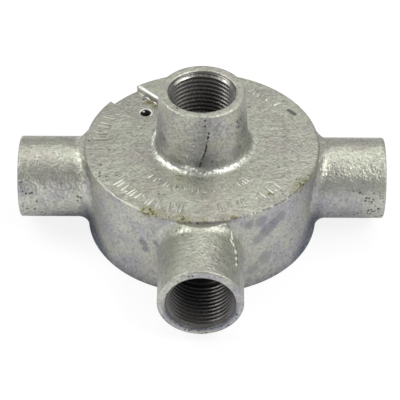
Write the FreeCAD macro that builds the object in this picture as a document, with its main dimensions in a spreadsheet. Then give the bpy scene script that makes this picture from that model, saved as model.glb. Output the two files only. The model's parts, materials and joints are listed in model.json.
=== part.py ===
"""Circular conduit box in one malleable iron casting, for 20 mm screwed steel conduit.

A round box, open underneath, with three threaded spouts round its side and a fourth, the
outlet, standing on its back. Behind each thread a smaller smooth bore, the bush, stops the
conduit and lets the cables run over a rounded edge. Two pillars inside take the screws of
a cover; one of them is drilled right through, and the back is sunk over it. All lengths
are in millimetres.

Frame: the origin is the centre of the open rim, +Z runs out of the outlet, and -Y out of
the middle spout. The other two spouts point along -X and +X.
"""
import FreeCAD, Part
import math
import os

import Sketcher

PARTS_FOLDER = "parts"
NODE = "conduit_box"
TOLERANCE = 0.01  # how far a sampled point may lie from the surface that it is looked for on

# Driving dimensions. Each becomes one cell of the sheet, which the features are bound to.
SIZES = {
    "body_diameter": 72.0,  # outside of the round box
    "body_wall": 3.0,  # its side wall
    "back_thickness": 3.0,  # its closed end, which carries the outlet
    "cavity_bevel": 1.0,  # inside corner between wall and back
    "rim_land": 3.05,  # plain wall between the open rim and the underside of a spout
    "crown_step": 1.0,  # how far the back stands above the crown of a spout
    "ledge_drop": 1.15,  # depth of the step from the back down to the spouts' roots
    "ledge_slope": 0.22,  # how much that step's foot rises for each millimetre outwards
    "thread_diameter": 20.0,  # nominal conduit size, at the root of the inside thread
    "thread_length": 17.0,  # from a mouth to the shoulder that stops the conduit
    "mouth_chamfer": 0.25,  # lead-in at the start of a spout's thread
    "bush_diameter": 16.8,  # smooth bore behind a thread
    "bush_bevel": 0.6,  # on its inner edge, where the cables bend
    "spout_wall": 2.55,  # metal round a spout's thread
    "spout_length": 20.3,  # from the box's side to a spout's mouth
    "spout_fillet": 3.8,  # where a spout runs into the box
    "outlet_wall": 3.0,  # metal round the thread at the outlet's mouth
    "outlet_length": 20.0,  # from the back to the outlet's mouth
    "outlet_taper": 1.25,  # how much larger in radius the outlet is at its root
    "outlet_fillet": 2.4,  # where the outlet runs into the back
    "outlet_chamfer": 0.5,  # lead-in at the start of the outlet's thread, cut deeper than the spouts'
    "edge_bevel": 0.35,  # broken outer edges of the back, the mouths and the recess
    "screw_circle": 50.8,  # pitch circle of the cover screws
    "screw_angle": 135.0,  # direction of the drilled-through pillar, from +X towards +Y
    "screw_hole": 3.3,  # drilled for an M4 thread
    "screw_depth": 18.0,  # of the blind hole, in the other pillar
    "recess_width": 11.4,  # sinking in the back, open at the box's side
    "recess_depth": 2.5,
    "lug_margin": 1.0,  # how much wider to each side a pillar is than the recess over it
    "lug_fillet": 2.0,  # where a pillar runs into the side wall
}

# Sizes that follow from the driving dimensions, worked out by the sheet itself.
DERIVED = {
    "body_radius": "body_diameter / 2",
    "cavity_radius": "body_radius - body_wall",
    "thread_radius": "thread_diameter / 2",
    "bush_radius": "bush_diameter / 2",
    "spout_radius": "thread_radius + spout_wall",
    "spout_reach": "body_radius + spout_length",
    "spout_height": "rim_land + spout_radius",
    "body_depth": "spout_height + spout_radius + crown_step",
    "cavity_depth": "body_depth - back_thickness",
    "ledge_height": "body_depth - ledge_drop",
    "outlet_radius": "thread_radius + outlet_wall",
    "outlet_root_radius": "outlet_radius + outlet_taper",
    "outlet_height": "body_depth + outlet_length",
    "screw_radius": "screw_circle / 2",
    "recess_radius": "recess_width / 2",
    "lug_radius": "recess_radius + lug_margin",
    "rough_margin": "2 * spout_fillet",  # length cast above and below the box, then cut away
}


def make_sheet(doc):
    """Puts the driving dimensions, and what follows from them, into named cells."""
    sheet = doc.addObject("Spreadsheet::Sheet", "Sizes")
    contents = {name: str(value) for name, value in SIZES.items()}
    contents.update({name: "=" + formula for name, formula in DERIVED.items()})
    for row, (name, content) in enumerate(contents.items(), start=1):
        sheet.set(f"A{row}", name)
        sheet.set(f"B{row}", content)
        sheet.setAlias(f"B{row}", name)
    doc.recompute()
    return sheet


def bound(formula):
    """A formula in plain cell names, written as an expression on the sheet."""
    words = formula.replace("(", "( ").replace(")", " )").split()
    return " ".join(f"Sizes.{word}" if word in SIZES or word in DERIVED else word for word in words)


def origin_feature(body, role):
    """The plane or axis of the body's own origin that has this role."""
    return next(item for item in body.Origin.OriginFeatures if item.Role == role)


class Outline:
    """A sketch whose points, radii and place are bound to cells of the sheet."""

    def __init__(self, body, name, plane, lift=None, heading=None):
        """Lays the sketch in an origin plane, lifted along the body's Z and turned about it."""
        self.sketch = body.newObject("Sketcher::SketchObject", name)
        self.sketch.AttachmentSupport = (origin_feature(body, plane), [""])
        self.sketch.MapMode = "FlatFace"
        # In a standing plane the sketch's own y is the body's Z.
        upwards = "z" if plane == "XY_Plane" else "y"
        if lift:
            self.sketch.setExpression(f"AttachmentOffset.Base.{upwards}", bound(lift))
        if heading:
            self.sketch.setExpression("AttachmentOffset.Rotation.Angle", bound(heading))

    def value(self, formula):
        """What a formula comes to at the present sizes."""
        return float(self.sketch.evalExpression(bound(formula)))

    def point(self, x, y):
        """The point whose coordinates are two formulas."""
        return FreeCAD.Vector(self.value(x), self.value(y), 0)

    def bind(self, kind, place, formula):
        """Adds a dimension and binds it to a formula."""
        index = self.sketch.addConstraint(Sketcher.Constraint(kind, *place, self.value(formula)))
        label = f"{kind}_{index}"
        self.sketch.renameConstraint(index, label)
        self.sketch.setExpression(f"Constraints.{label}", bound(formula))

    def pin(self, element, end, x, y):
        """Fixes one end of an element; a coordinate of "0" puts it on the sketch's axis."""
        for kind, axis, formula in (("DistanceX", -2, x), ("DistanceY", -1, y)):
            if formula == "0":
                self.sketch.addConstraint(Sketcher.Constraint("PointOnObject", element, end, axis))
            else:
                self.bind(kind, (-1, 1, element, end), formula)

    def join(self, kind, *place):
        """Adds a constraint that has no size."""
        self.sketch.addConstraint(Sketcher.Constraint(kind, *place))

    def polygon(self, *corners):
        """A closed outline of straight lines through corners, each a pair of formulas."""
        points = [self.point(x, y) for x, y in corners]
        count = len(points)
        for i in range(count):
            self.sketch.addGeometry(Part.LineSegment(points[i], points[(i + 1) % count]), False)
        for i in range(count):
            self.join("Coincident", i, 2, (i + 1) % count, 1)
        for i, (x, y) in enumerate(corners):
            self.pin(i, 1, x, y)
        return self.sketch

    def circle(self, radius, x="0", y="0"):
        """A circle about a point whose coordinates are two formulas."""
        circle = Part.Circle(self.point(x, y), FreeCAD.Vector(0, 0, 1), self.value(radius))
        item = self.sketch.addGeometry(circle, False)
        self.pin(item, 3, x, y)
        self.bind("Radius", (item,), radius)
        return self.sketch

    def tongue(self, middle, radius, root):
        """A strip along x with one round end, whose centre is at middle; it starts at root."""
        round_end = Part.Circle(self.point(middle, "0"), FreeCAD.Vector(0, 0, 1), self.value(radius))
        upper, lower = self.point(middle, radius), self.point(middle, "0 - " + radius)
        upper_root, lower_root = self.point(root, radius), self.point(root, "0 - " + radius)
        arc, low, end, high = (
            self.sketch.addGeometry(item, False)
            for item in (
                Part.ArcOfCircle(round_end, math.pi / 2, 3 * math.pi / 2),
                Part.LineSegment(lower, lower_root),
                Part.LineSegment(lower_root, upper_root),
                Part.LineSegment(upper_root, upper),
            )
        )
        self.join("Tangent", arc, 2, low, 1)
        self.join("Coincident", low, 2, end, 1)
        self.join("Coincident", end, 2, high, 1)
        self.join("Tangent", high, 2, arc, 1)
        self.join("Vertical", end)
        self.pin(arc, 3, middle, "0")
        self.bind("Radius", (arc,), radius)
        self.bind("DistanceX", (-1, 1, end, 1), root)
        return self.sketch


def settle(body, item):
    """Makes a new feature the body's tip, and stops the build if it failed."""
    body.Tip = item
    item.Document.recompute()
    failed = [part.Name for part in item.Document.Objects if {"Invalid", "Error"} & set(part.State)]
    if failed or item.Shape.isNull() or not item.Shape.isValid():
        raise ValueError(f"{item.Name} failed, with {failed}")
    return item


def pad(body, name, sketch, length):
    """Raises a sketch by a length."""
    item = body.newObject("PartDesign::Pad", name)
    item.Profile = sketch
    item.setExpression("Length", bound(length))
    return settle(body, item)


def pocket(body, name, sketch, length=None, upwards=False):
    """Cuts a sketch into the metal by a length, or right through if none is given."""
    item = body.newObject("PartDesign::Pocket", name)
    item.Profile = sketch
    item.Reversed = upwards
    if length:
        item.setExpression("Length", bound(length))
    else:
        item.Type = "ThroughAll"
    return settle(body, item)


def spin(body, kind, name, sketch, line):
    """Spins a sketch round one of its own axes: a Revolution adds metal, a Groove removes it."""
    item = body.newObject(f"PartDesign::{kind}", name)
    item.Profile = sketch
    item.ReferenceAxis = (sketch, [line])
    item.Angle = 360
    return settle(body, item)


def repeat(body, name, feature, angle, count):
    """Copies a feature clockwise round the box, over an angle."""
    item = body.newObject("PartDesign::PolarPattern", name)
    item.Originals = [feature]
    item.Axis = (origin_feature(body, "Z_Axis"), [""])
    item.Angle = angle
    item.Occurrences = count
    item.Reversed = True
    return settle(body, item)


def dress_whole(body, kind, name, size, wanted):
    """Rounds or bevels each edge of the body for which wanted(edge) is true."""
    base = body.Tip
    edges = [f"Edge{i}" for i, edge in enumerate(base.Shape.Edges, start=1) if wanted(edge)]
    if not edges:
        raise ValueError(f"{name} found no edge")
    item = body.newObject(f"PartDesign::{kind}", name)
    item.Base = (base, edges)
    item.setExpression("Radius" if kind == "Fillet" else "Size", bound(size))
    return settle(body, item)


def dress(body, kind, name, size, wanted):
    """Rounds or bevels each edge of the body for which wanted(point) is true all along it."""
    return dress_whole(
        body, kind, name, size, lambda edge: all(wanted(point) for point in edge.discretize(9))
    )


def upright(edge):
    """Whether an edge runs straight up."""
    start, end = edge.Vertexes[0].Point, edge.Vertexes[-1].Point
    return near(start.x, end.x) and near(start.y, end.y) and not near(start.z, end.z)


def near(value, target):
    """Whether a coordinate is the one that is looked for."""
    return abs(value - target) < TOLERANCE


def from_axis(point):
    """How far a point is from the box's own axis."""
    return math.hypot(point.x, point.y)


def from_spout_axis(point, height):
    """How far a point is from the axis of the spout that it is nearest to."""
    across = point.y if abs(point.x) > -point.y else point.x
    return math.hypot(across, point.z - height)


def towards_screw(point, angle):
    """How far a point is out along the screws' diagonal, and to the side of it."""
    direction = FreeCAD.Vector(math.cos(math.radians(angle)), math.sin(math.radians(angle)), 0)
    across = FreeCAD.Vector(-direction.y, direction.x, 0)
    return point.dot(direction), point.dot(across)


def cast_outside(body, size):
    """The outside of the casting: a round box with three spouts and the outlet."""
    # The box is first made over-long, so that the spouts' root fillets come out whole.
    disc = Outline(body, "BoxOutline", "XY_Plane", lift="0 - rough_margin").circle("body_radius")
    pad(body, "RoughBox", disc, "body_depth + 2 * rough_margin")
    section = Outline(body, "SpoutSection", "XZ_Plane", lift="spout_height").polygon(
        ("0", "0"),
        ("0", "spout_radius"),
        ("spout_reach - edge_bevel", "spout_radius"),
        ("spout_reach", "spout_radius - edge_bevel"),
        ("spout_reach", "0"),
    )
    spout = spin(body, "Revolution", "Spout", section, "H_Axis")
    repeat(body, "Spouts", spout, 180, 3)
    height, reach = size("spout_height"), size("spout_radius") + size("spout_fillet")
    dress(
        body, "Fillet", "SpoutRoots", "spout_fillet",
        lambda p: near(from_axis(p), size("body_radius")) and from_spout_axis(p, height) < reach,
    )

    # One turned cut leaves the back flat and a step round it, over the spouts' roots.
    section = Outline(body, "BackSection", "XZ_Plane").polygon(
        ("0", "body_depth"),
        ("body_radius - edge_bevel", "body_depth"),
        ("body_radius", "body_depth - edge_bevel"),
        ("body_radius", "ledge_height"),
        ("spout_reach", "ledge_height + spout_length * ledge_slope"),
        ("spout_reach", "body_depth + 2 * rough_margin"),
        ("0", "body_depth + 2 * rough_margin"),
    )
    spin(body, "Groove", "BackFace", section, "V_Axis")
    facing = Outline(body, "FacingOutline", "XY_Plane").circle("spout_reach")
    pocket(body, "RimFace", facing)

    section = Outline(body, "OutletSection", "XZ_Plane", lift="body_depth").polygon(
        ("0", "0 - back_thickness / 2"),
        ("outlet_root_radius", "0 - back_thickness / 2"),
        ("outlet_root_radius", "0"),
        ("outlet_radius", "outlet_length - edge_bevel"),
        ("outlet_radius - edge_bevel", "outlet_length"),
        ("0", "outlet_length"),
    )
    spin(body, "Revolution", "Outlet", section, "V_Axis")
    dress(
        body, "Fillet", "OutletRoot", "outlet_fillet",
        lambda p: near(p.z, size("body_depth")) and near(from_axis(p), size("outlet_root_radius")),
    )


def hollow_inside(body, size):
    """The cavity, and the two pillars in it that take the cover's screws."""
    section = Outline(body, "CavitySection", "XZ_Plane").polygon(
        ("0", "0"),
        ("cavity_radius", "0"),
        ("cavity_radius", "cavity_depth - cavity_bevel"),
        ("cavity_radius - cavity_bevel", "cavity_depth"),
        ("0", "cavity_depth"),
    )
    spin(body, "Groove", "Cavity", section, "V_Axis")
    for name, heading in (("Through", "screw_angle"), ("Blind", "screw_angle + 180")):
        outline = Outline(body, name + "PillarOutline", "XY_Plane", heading=heading)
        tongue = outline.tongue("screw_radius", "lug_radius", "cavity_radius + body_wall / 2")
        pad(body, name + "Pillar", tongue, "cavity_depth")
    dress_whole(
        body, "Fillet", "PillarRoots", "lug_fillet",
        lambda edge: upright(edge) and near(from_axis(edge.Vertexes[0].Point), size("cavity_radius")),
    )


def bore_threads(body):
    """The stepped bores: thread, shoulder and bush, open into the cavity."""
    # The bevel runs on into the cavity, because the wall curves away from a spout's axis.
    section = Outline(body, "SpoutBoreSection", "XZ_Plane", lift="spout_height").polygon(
        ("cavity_radius - body_wall", "0"),
        ("cavity_radius - body_wall", "bush_radius + bush_bevel + body_wall"),
        ("cavity_radius + bush_bevel", "bush_radius"),
        ("spout_reach - thread_length", "bush_radius"),
        ("spout_reach - thread_length", "thread_radius"),
        ("spout_reach - mouth_chamfer", "thread_radius"),
        ("spout_reach", "thread_radius + mouth_chamfer"),
        ("spout_reach", "0"),
    )
    bore = spin(body, "Groove", "SpoutBore", section, "H_Axis")
    repeat(body, "SpoutBores", bore, 180, 3)
    section = Outline(body, "OutletBoreSection", "XZ_Plane").polygon(
        ("0", "cavity_depth"),
        ("bush_radius + bush_bevel", "cavity_depth"),
        ("bush_radius", "cavity_depth + bush_bevel"),
        ("bush_radius", "outlet_height - thread_length"),
        ("thread_radius", "outlet_height - thread_length"),
        ("thread_radius", "outlet_height - outlet_chamfer"),
        ("thread_radius + outlet_chamfer", "outlet_height"),
        ("0", "outlet_height"),
    )
    spin(body, "Groove", "OutletBore", section, "V_Axis")


def drill_screw_holes(body):
    """The two holes for the cover's screws: one right through, one blind."""
    hole = Outline(body, "ThroughHoleOutline", "XY_Plane", heading="screw_angle")
    pocket(body, "ThroughHole", hole.circle("screw_hole / 2", x="screw_radius"), upwards=True)
    hole = Outline(body, "BlindHoleOutline", "XY_Plane", heading="screw_angle + 180")
    circle = hole.circle("screw_hole / 2", x="screw_radius")
    pocket(body, "BlindHole", circle, "screw_depth", upwards=True)


def sink_recess(body, size):
    """The sinking in the back over the drilled-through pillar, open at the box's side."""
    outline = Outline(body, "RecessOutline", "XY_Plane", lift="body_depth", heading="screw_angle")
    tongue = outline.tongue("screw_radius", "recess_radius", "spout_reach")
    pocket(body, "Recess", tongue, "recess_depth")

    def on_side(p):
        """Whether a point is on the recess's side, round end included."""
        out, side = towards_screw(p, size("screw_angle"))
        return near(math.hypot(min(out - size("screw_radius"), 0), side), size("recess_radius"))

    dress(
        body, "Chamfer", "RecessEdge", "edge_bevel",
        lambda p: near(p.z, size("body_depth")) and on_side(p),
    )


def main():
    os.makedirs(PARTS_FOLDER, exist_ok=True)
    doc = FreeCAD.newDocument("ConduitBox")
    sheet = make_sheet(doc)

    def size(name):
        """The present value of a cell."""
        return float(sheet.get(name))

    body = doc.addObject("PartDesign::Body", NODE)
    body.Label = NODE
    cast_outside(body, size)
    sink_recess(body, size)
    hollow_inside(body, size)
    bore_threads(body)
    drill_screw_holes(body)
    body.Shape.exportStep(f"{PARTS_FOLDER}/{NODE}.step")
    print(f"{NODE}: {len(body.Shape.Solids)} solid, {body.Shape.Volume:.0f} cubic millimetres")


main()
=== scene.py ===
"""Finish and fine detail of a galvanised round conduit box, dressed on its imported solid.

The solid already has the casting's shape. This script adds what is cut into it or stands
proud of it: the conduit threads, the seam and flash that the mould left, and plain raised
foundry marks. It then gives the iron its zinc, oil, rust and stains, and sets the studio.

Lengths in the dataclasses are millimetres, as on a drawing, and angles are degrees, counted
round the box from +X towards +Y. Meshes are in metres.
"""
import json
import logging
import math
import random
from collections.abc import Callable
from dataclasses import dataclass, field
from enum import Enum

import bpy
from mathutils import Matrix, Vector


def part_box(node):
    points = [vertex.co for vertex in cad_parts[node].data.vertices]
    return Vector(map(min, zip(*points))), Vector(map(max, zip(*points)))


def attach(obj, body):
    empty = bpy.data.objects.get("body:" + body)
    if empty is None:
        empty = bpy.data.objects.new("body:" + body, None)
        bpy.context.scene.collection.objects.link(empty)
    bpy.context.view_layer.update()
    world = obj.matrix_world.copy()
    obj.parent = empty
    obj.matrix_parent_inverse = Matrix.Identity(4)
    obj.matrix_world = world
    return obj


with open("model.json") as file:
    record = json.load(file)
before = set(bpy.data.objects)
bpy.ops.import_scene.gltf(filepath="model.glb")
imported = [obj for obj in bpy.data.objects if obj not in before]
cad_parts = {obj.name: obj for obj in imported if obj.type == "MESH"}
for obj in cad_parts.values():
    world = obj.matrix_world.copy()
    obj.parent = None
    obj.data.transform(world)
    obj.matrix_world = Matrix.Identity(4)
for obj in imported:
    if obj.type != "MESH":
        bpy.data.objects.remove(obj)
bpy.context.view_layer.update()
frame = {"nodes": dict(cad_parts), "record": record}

Material = bpy.types.Material
Piece = bpy.types.Object
Socket = bpy.types.NodeSocket
Tree = bpy.types.NodeTree
Rows = tuple[tuple[float, ...], ...]
Run = list[tuple[Vector, float]]

MM = 0.001
SPOUT_WALL = 2.55  # outside the thread's root, at a spout's mouth
OUTLET_WALL = 3.0  # the same, at the outlet's mouth
OUTLET_LENGTH = 20.0
OUTLET_FLARE = 1.25  # how much the outlet's radius grows towards its foot
RECESS_HALF_WIDTH = 5.7
RECESS_DEPTH = 2.5
SCREW_RADIUS = 25.4
SCREW_ANGLE = 135.0
WIPED_FROM = (0.35, 0.50)  # how far down a thread the wiped part begins, and is all wiped
WIPED_TO = (1.25, 1.00)  # how far down it has ended, and is last all wiped
NODE = "conduit_box"
BODY = "root"
log = logging.getLogger("conduit_box")


# --- Measures taken from the frame ---------------------------------------------------------


@dataclass(frozen=True)
class Bore:
    """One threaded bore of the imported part: the middle of its thread, and where it points."""

    name: str
    middle: Vector
    axis: Vector
    radius: float
    length: float

    @property
    def mouth(self) -> Vector:
        """The middle of the circle where the thread starts, in millimetres."""
        return self.middle + self.axis * self.length / 2


def threaded_bores() -> list[Bore]:
    """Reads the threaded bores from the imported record.

    Returns:
        One Bore for each threaded hole that the record mounts.
    """
    return [
        Bore(
            mount["name"],
            Vector(mount["pos_m"]) / MM,
            Vector(mount["axis"]),
            mount["dims"]["r_mm"],
            mount["dims"]["length_mm"],
        )
        for mount in frame["record"]["mounts"]
        if mount["kind"] == "threaded_hole"
    ]


@dataclass(frozen=True)
class Casting:
    """The casting's own measures in millimetres, which the added pieces are set against."""

    body_radius: float
    back_height: float
    spout_height: float
    spout_reach: float
    spout_radius: float
    outlet_top: float
    outlet_radius: float
    outlet_taper: float

    @classmethod
    def from_frame(cls, bores: list[Bore]) -> "Casting":
        """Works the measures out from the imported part's box and its bores.

        Args:
            bores: the part's threaded bores.

        Returns:
            The casting's measures.
        """
        _, high = (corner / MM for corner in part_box(NODE))
        spout = next(bore for bore in bores if abs(bore.axis.x) > 0.5)
        return cls(
            body_radius=high.y,
            back_height=high.z - OUTLET_LENGTH,
            spout_height=spout.middle.z,
            spout_reach=high.x,
            spout_radius=spout.radius + SPOUT_WALL,
            outlet_top=high.z,
            outlet_radius=spout.radius + OUTLET_WALL,
            outlet_taper=OUTLET_FLARE / OUTLET_LENGTH,
        )

    def on_back(self, radius: float, angle: float, height: float = 0.0) -> Vector:
        """A point above the back, at a radius and an angle round the box."""
        turn = math.radians(angle)
        return Vector(
            (radius * math.cos(turn), radius * math.sin(turn), self.back_height + height)
        )

    def by_back_edge(self, inset: float, angle: float) -> Vector:
        """A point on the back, at a distance in from its edge."""
        return self.on_back(self.body_radius - inset, angle)

    def on_side(self, angle: float, height: float) -> Vector:
        """A point on the box's round side, at a height above the rim."""
        turn = math.radians(angle)
        return Vector(
            (self.body_radius * math.cos(turn), self.body_radius * math.sin(turn), height)
        )

    def on_outlet(self, angle: float, height: float) -> Vector:
        """A point on the outlet's tapered outside, at a height above the rim."""
        turn = math.radians(angle)
        radius = self.outlet_radius + self.outlet_taper * (self.outlet_top - height)
        return Vector((radius * math.cos(turn), radius * math.sin(turn), height))

    def on_front_spout(self, angle: float, reach: float) -> Vector:
        """A point on the front spout, at an angle above +X and a distance out from the axis."""
        turn = math.radians(angle)
        return Vector(
            (
                self.spout_radius * math.cos(turn),
                -reach,
                self.spout_height + self.spout_radius * math.sin(turn),
            )
        )

    def on_side_spout(self, x: float, height: float) -> Vector:
        """A point on the front half of a side spout, at a height above the rim."""
        rise = height - self.spout_height
        return Vector((x, -math.sqrt(self.spout_radius**2 - rise**2), height))

    def on_front_mouth(self, x: float, height: float) -> Vector:
        """A point on the flat ring of the front spout's mouth."""
        return Vector((x, -self.spout_reach, height))

    def in_recess(self, outwards: float, aside: float, height: float = 0.0) -> Vector:
        """A point above the recess's floor: a distance out along it, and one to its back side."""
        turn = math.radians(SCREW_ANGLE)
        out = Vector((math.cos(turn), math.sin(turn), 0))
        back = Vector((-out.x, out.y, 0))
        floor = Vector((0, 0, self.back_height - RECESS_DEPTH + height))
        return floor + out * outwards + back * aside


# --- Small modelling and shading helpers ----------------------------------------------------


def linear(colour: str) -> tuple[float, float, float, float]:
    """Turns an sRGB hex colour into the linear colour that a shader takes.

    Args:
        colour: six hex digits after a hash sign.

    Returns:
        Red, green, blue and an alpha of one.
    """
    parts = [int(colour[i : i + 2], 16) / 255 for i in (1, 3, 5)]
    red, green, blue = (
        part / 12.92 if part <= 0.04045 else ((part + 0.055) / 1.055) ** 2.4 for part in parts
    )
    return red, green, blue, 1.0


def add(tree: Tree, kind: str, inputs: dict | None = None, **settings) -> bpy.types.Node:
    """Adds one node to a tree.

    Args:
        tree: the node tree.
        kind: the node's type, without its ShaderNode prefix.
        inputs: for each socket, by name or number, a value or an output to link.
        **settings: the node's own properties.

    Returns:
        The new node.
    """
    made = tree.nodes.new("ShaderNode" + kind)
    for name, value in settings.items():
        setattr(made, name, value)
    for socket, value in (inputs or {}).items():
        if isinstance(value, Socket):
            tree.links.new(value, made.inputs[socket])
        else:
            made.inputs[socket].default_value = value
    return made


def per_metre(size: float) -> float:
    """The scale of a noise whose features are about size millimetres wide."""
    return 1 / (size * MM)


def select_none() -> None:
    """Leaves object mode with nothing selected."""
    if bpy.context.object and bpy.context.object.mode != "OBJECT":
        bpy.ops.object.mode_set(mode="OBJECT")
    bpy.ops.object.select_all(action="DESELECT")


def pick(*pieces: Piece) -> None:
    """Selects these pieces and nothing else, with the first of them active."""
    select_none()
    for piece in pieces:
        piece.select_set(True)
    bpy.context.view_layer.objects.active = pieces[0]


def settle(piece: Piece) -> None:
    """Puts a piece's place into its mesh, so that its object sits at the origin."""
    pick(piece)
    bpy.ops.object.transform_apply(location=True, rotation=True, scale=True)


def close_up(piece: Piece) -> None:
    """Merges a piece's doubled points, fills its small holes and turns its faces outwards."""
    pick(piece)
    bpy.ops.object.mode_set(mode="EDIT")
    bpy.ops.mesh.select_all(action="SELECT")
    bpy.ops.mesh.remove_doubles(threshold=0.0005 * MM)
    bpy.ops.mesh.fill_holes(sides=4)
    bpy.ops.mesh.select_all(action="SELECT")
    bpy.ops.mesh.normals_make_consistent(inside=False)
    bpy.ops.object.mode_set(mode="OBJECT")


def join(pieces: list[Piece], name: str) -> Piece:
    """Joins pieces into one.

    Args:
        pieces: the pieces, all at the origin.
        name: what the joined piece is called.

    Returns:
        The joined piece.
    """
    pick(*pieces)
    bpy.ops.object.join()
    pieces[0].name = name
    pieces[0].data.name = name
    return pieces[0]


def dress(piece: Piece, material: Material, smooth_to: float) -> None:
    """Finishes a piece: its material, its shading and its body.

    Args:
        piece: the piece, with its place in its mesh.
        material: its finish.
        smooth_to: edges that turn by less than this angle are shaded smooth.
    """
    piece.data.materials.clear()
    piece.data.materials.append(material)
    pick(piece)
    bpy.ops.object.shade_smooth_by_angle(angle=math.radians(smooth_to))
    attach(piece, BODY)
    log.info("%s: %d faces", piece.name, len(piece.data.polygons))


# --- Finishes -------------------------------------------------------------------------------


@dataclass(frozen=True)
class Blot:
    """A ragged spot of some other finish, at a place on the casting."""

    centre: Vector
    radius: float
    strength: float = 1.0


@dataclass(frozen=True)
class Crack:
    """A hairline in the surface, from point to point."""

    route: tuple[Vector, ...]
    width: float = 0.4
    strength: float = 1.0
    broken: bool = True  # whether grains of zinc bridge it here and there


@dataclass(frozen=True)
class Wear:
    """Where the zinc has failed, is stained, or never took."""

    rust: tuple[Blot, ...] = ()
    stain: tuple[Blot, ...] = ()
    bare: tuple[Blot, ...] = ()
    pitted: tuple[Blot, ...] = ()
    cracks: tuple[Crack, ...] = ()


@dataclass(frozen=True)
class Tint:
    """A colour that begins to show where a pattern reaches low, and shows fully at high."""

    colour: str
    low: float
    high: float
    share: float = 1.0


class Canvas:
    """A new material, and the few ways in which its patterns are measured and combined."""

    def __init__(self, name: str, placed: bool = True) -> None:
        """Makes the material.

        Args:
            name: what it is called.
            placed: whether it has patterns, which lie on Object coordinates.
        """
        self.material = bpy.data.materials.new(name)
        self.material.use_nodes = True
        self.tree = self.material.node_tree
        self.tree.nodes.clear()
        if placed:
            self.place = add(self.tree, "TexCoord").outputs["Object"]

    def over(self, mask: Socket, under: Socket | str, shade: Socket | str) -> Socket:
        """A colour with another laid over it where a mask is white."""
        under, shade = (linear(part) if isinstance(part, str) else part for part in (under, shade))
        return add(self.tree, "Mix", {0: mask, 6: under, 7: shade}, data_type="RGBA").outputs[2]

    def times(
        self, mask: Socket | None, pattern: Socket, low: float, high: float, share: float = 1.0
    ) -> Socket:
        """Keeps a mask only where a pattern is high enough.

        Args:
            mask: the mask, or None to keep the whole of the pattern.
            pattern: the pattern.
            low: where the pattern begins to show the mask, which may be above high.
            high: where it shows it fully.
            share: how much of the mask is kept there.

        Returns:
            The new mask.
        """
        limits = {"From Min": low, "From Max": high, "To Max": share}
        kept = add(self.tree, "MapRange", {"Value": pattern, **limits}).outputs["Result"]
        if mask is None:
            return kept
        return add(self.tree, "Math", {0: mask, 1: kept}, operation="MULTIPLY").outputs[0]

    def shown(self, tint: Tint, pattern: Socket, mask: Socket | None = None) -> Socket:
        """Where a pattern shows a tint, within a mask if there is one."""
        return self.times(mask, pattern, tint.low, tint.high, tint.share)

    def either(self, mask: Socket | None, part: Socket) -> Socket:
        """Two masks as one, or the second alone where there is no first."""
        if mask is None:
            return part
        return add(self.tree, "Math", {0: mask, 1: part}, operation="MAXIMUM").outputs[0]

    def noise(self, size: float, **inputs: float) -> Socket:
        """A noise whose features are about size millimetres wide."""
        inputs = {"Vector": self.place, "Scale": per_metre(size), **inputs}
        return add(self.tree, "TexNoise", inputs).outputs["Fac"]

    def along(self, bore: Bore) -> Socket:
        """How far along a bore's axis a place is."""
        inputs = {0: self.place, 1: bore.axis}
        return add(self.tree, "VectorMath", inputs, operation="DOT_PRODUCT").outputs["Value"]

    def from_axis(self, bore: Bore) -> Socket:
        """How far from a bore's axis a place is."""
        flat = Vector([1 - abs(part) for part in bore.axis])
        inputs = {"Vector": self.place, "Location": -bore.middle * MM * flat, "Scale": flat}
        across = add(self.tree, "Mapping", inputs).outputs[0]
        return add(self.tree, "VectorMath", {0: across}, operation="LENGTH").outputs["Value"]

    def level(self) -> Socket:
        """How high above the rim a place is."""
        return add(self.tree, "SeparateXYZ", {0: self.place}).outputs["Z"]

    def lead_in(self, bore: Bore) -> Socket:
        """The first turn of a thread, where the oil has been wiped away.

        Args:
            bore: the bore that is threaded.

        Returns:
            Its mask.
        """
        ends = {0: bore.mouth.dot(bore.axis) * MM, 1: self.along(bore)}
        depth = add(self.tree, "Math", ends, operation="SUBTRACT").outputs[0]
        wiped = None
        for none, full in (WIPED_TO, WIPED_FROM):
            wiped = self.times(wiped, depth, none * MM, full * MM)
        return wiped

    def finish(self, inputs: dict) -> Material:
        """Ends the tree with its surface.

        Args:
            inputs: the surface's values and links.

        Returns:
            The material.
        """
        surface = add(self.tree, "BsdfPrincipled", inputs)
        add(self.tree, "OutputMaterial", {"Surface": surface.outputs[0]})
        return self.material


@dataclass(frozen=True)
class OiledIron:
    """Grey iron cut after galvanising, and dark with cutting oil.

    The oil fills the tool marks and takes most of the metal's shine, so the bores look a flat
    dark grey, and only the flanks that face a light show brighter lines.
    """

    name: str = "lit_oiled_cut_iron"
    # painted light: this lighter grey is the outlet's, whose bore faces up; the spouts take a
    # darker copy as painted shade
    colour: str = "#8C8884"
    clean: str = "#ABABA2"
    metallic: float = 0.55
    roughness: float = 0.21
    streak_size: float = 0.7

    def build(self, outlet: Bore) -> Material:
        """Makes the material, whose oil lies a little unevenly.

        Args:
            outlet: the bore whose lead-in is wiped clean.

        Returns:
            The material.
        """
        canvas = Canvas(self.name)
        spread = {
            "Value": canvas.noise(self.streak_size),
            "From Min": 0.3,
            "From Max": 0.7,
            "To Min": self.roughness - 0.05,
            "To Max": self.roughness + 0.12,
        }
        rough = add(canvas.tree, "MapRange", spread).outputs["Result"]
        wiped = canvas.lead_in(outlet)
        colour = canvas.over(wiped, self.colour, self.clean)
        shine = {"Value": wiped, "To Min": self.metallic, "To Max": 1.0}
        metal = add(canvas.tree, "MapRange", shine).outputs["Result"]
        return canvas.finish({"Base Color": colour, "Metallic": metal, "Roughness": rough})


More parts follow.
